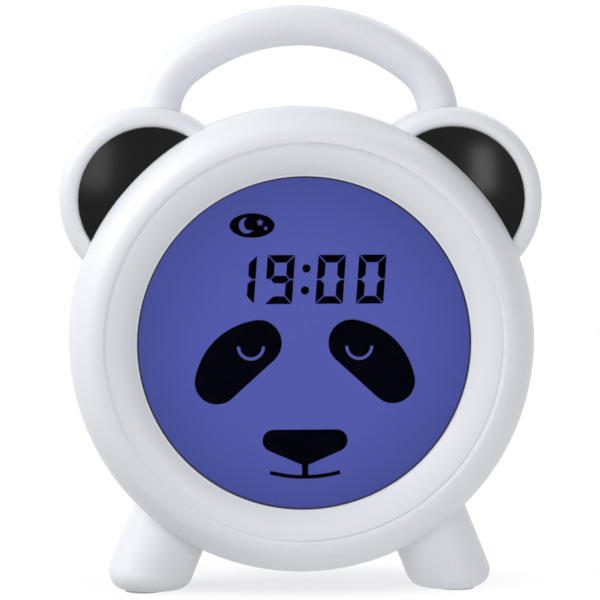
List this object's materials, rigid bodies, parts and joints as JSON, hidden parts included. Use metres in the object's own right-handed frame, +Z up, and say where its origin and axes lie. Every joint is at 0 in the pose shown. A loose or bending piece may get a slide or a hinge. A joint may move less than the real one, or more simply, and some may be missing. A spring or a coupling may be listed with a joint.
{
  "type": "bedside clock",
  "caption": "Round white child's alarm clock and night light: eared body on splayed legs, arched carrying handle, round window over a blue display, push buttons and battery door behind.",
  "frame": {"origin": "middle of the footprint on the table, midway between the front ring's crown and the flat back", "axes": "+Z up, the face looks along -Y, +X to the right of someone looking at the face"},
  "size_m": [0.1434, 0.056, 0.1751],
  "materials": {
    "button_grey": "matt pale grey",
    "can_metal": "bare rolled can",
    "cell_jacket": "printed metal jacket, plain",
    "chip_black": "matt moulded black",
    "cone_paper": "pressed paper cone, matt",
    "cream_plastic": "matt cream moulding",
    "display_glass": "blue-violet backlit liquid-crystal panel, even and lightly glossy",
    "felt_black": "thin felt ring",
    "gloss_black": "polished black inlay",
    "green_board": "green solder mask, satin",
    "led_white": "white package with a pale lens",
    "magnet_grey": "plain sintered and plated",
    "milky_sheet": "milky satin sheet",
    "pad_rubber": "matt grey rubber",
    "plunger_cream": "matt cream",
    "screw_steel": "zinc plated",
    "speaker_steel": "blackened pressed steel",
    "tinned_metal": "tinned, lightly brushed",
    "tinted_window": "clear polished window, faint blue cast",
    "white_bezel": "smooth, lightly glossy moulded white",
    "white_body": "smooth, lightly glossy moulded white",
    "white_inner": "matt moulded white"
  },
  "bodies": {
    "clock": {"front_shell": "white_body", "rear_shell": "white_body", "bezel_ring": "white_bezel", "window_lens": "tinted_window", "lcd_panel": "display_glass", "diffuser": "milky_sheet", "lcd_pins": "tinned_metal", "light_box": "white_inner", "main_board": "green_board", "night_light_leds": "led_white", "microcontroller": "chip_black", "capacitors": "can_metal", "board_connectors": "cream_plastic", "light_box_screws": "screw_steel", "main_board_screws": "screw_steel", "button_board_screws": "screw_steel", "speaker_screws": "screw_steel", "shell_screws": "screw_steel", "ear_insert_left": "gloss_black", "ear_insert_right": "gloss_black", "handle_front": "white_body", "handle_rear": "white_body", "leg_left": "white_body", "leg_right": "white_body", "foot_pad_left": "pad_rubber", "foot_pad_right": "pad_rubber", "battery_cells": "cell_jacket", "battery_contacts": "tinned_metal", "speaker_frame": "speaker_steel", "speaker_magnet": "magnet_grey", "speaker_cone": "cone_paper", "speaker_gasket": "felt_black", "speaker_clamp": "white_inner", "switch_bodies": "chip_black", "button_board_left": "green_board", "button_board_right": "green_board", "charging_socket": "tinned_metal"},
    "button_plus": {"button_plus": "button_grey", "plunger_plus": "plunger_cream"},
    "button_minus": {"button_minus": "button_grey", "plunger_minus": "plunger_cream"},
    "button_light": {"button_light": "button_grey", "plunger_light": "plunger_cream"},
    "button_clock": {"button_clock": "button_grey", "plunger_clock": "plunger_cream"},
    "button_alarm": {"button_alarm": "button_grey", "plunger_alarm": "plunger_cream"},
    "button_sleep": {"button_sleep": "button_grey", "plunger_sleep": "plunger_cream"},
    "battery_door": {"battery_door": "white_body"},
    "door_screw": {"door_screw": "screw_steel"}
  },
  "joints": [
    {"name": "press_plus", "type": "slide", "parent": "clock", "child": "button_plus", "axis": [0, -1, 0], "range_m": [0, 0.0007], "stiffness_N_per_m": 400},
    {"name": "press_minus", "type": "slide", "parent": "clock", "child": "button_minus", "axis": [0, -1, 0], "range_m": [0, 0.0007], "stiffness_N_per_m": 400},
    {"name": "press_light", "type": "slide", "parent": "clock", "child": "button_light", "axis": [0, -1, 0], "range_m": [0, 0.0007], "stiffness_N_per_m": 400},
    {"name": "press_clock", "type": "slide", "parent": "clock", "child": "button_clock", "axis": [0, -1, 0], "range_m": [0, 0.0007], "stiffness_N_per_m": 400},
    {"name": "press_alarm", "type": "slide", "parent": "clock", "child": "button_alarm", "axis": [0, -1, 0], "range_m": [0, 0.0007], "stiffness_N_per_m": 400},
    {"name": "press_sleep", "type": "slide", "parent": "clock", "child": "button_sleep", "axis": [0, -1, 0], "range_m": [0, 0.0007], "stiffness_N_per_m": 400},
    {"name": "battery_door_hinge", "type": "hinge", "parent": "clock", "child": "battery_door", "pos_m": [0, 0.028, 0.077], "axis": [1, 0, 0], "range_deg": [0, 80]},
    {"name": "door_screw_turn", "type": "hinge", "parent": "battery_door", "child": "door_screw", "pos_m": [0, 0.025, 0.024], "axis": [0, 1, 0], "continuous": true}
  ]
}
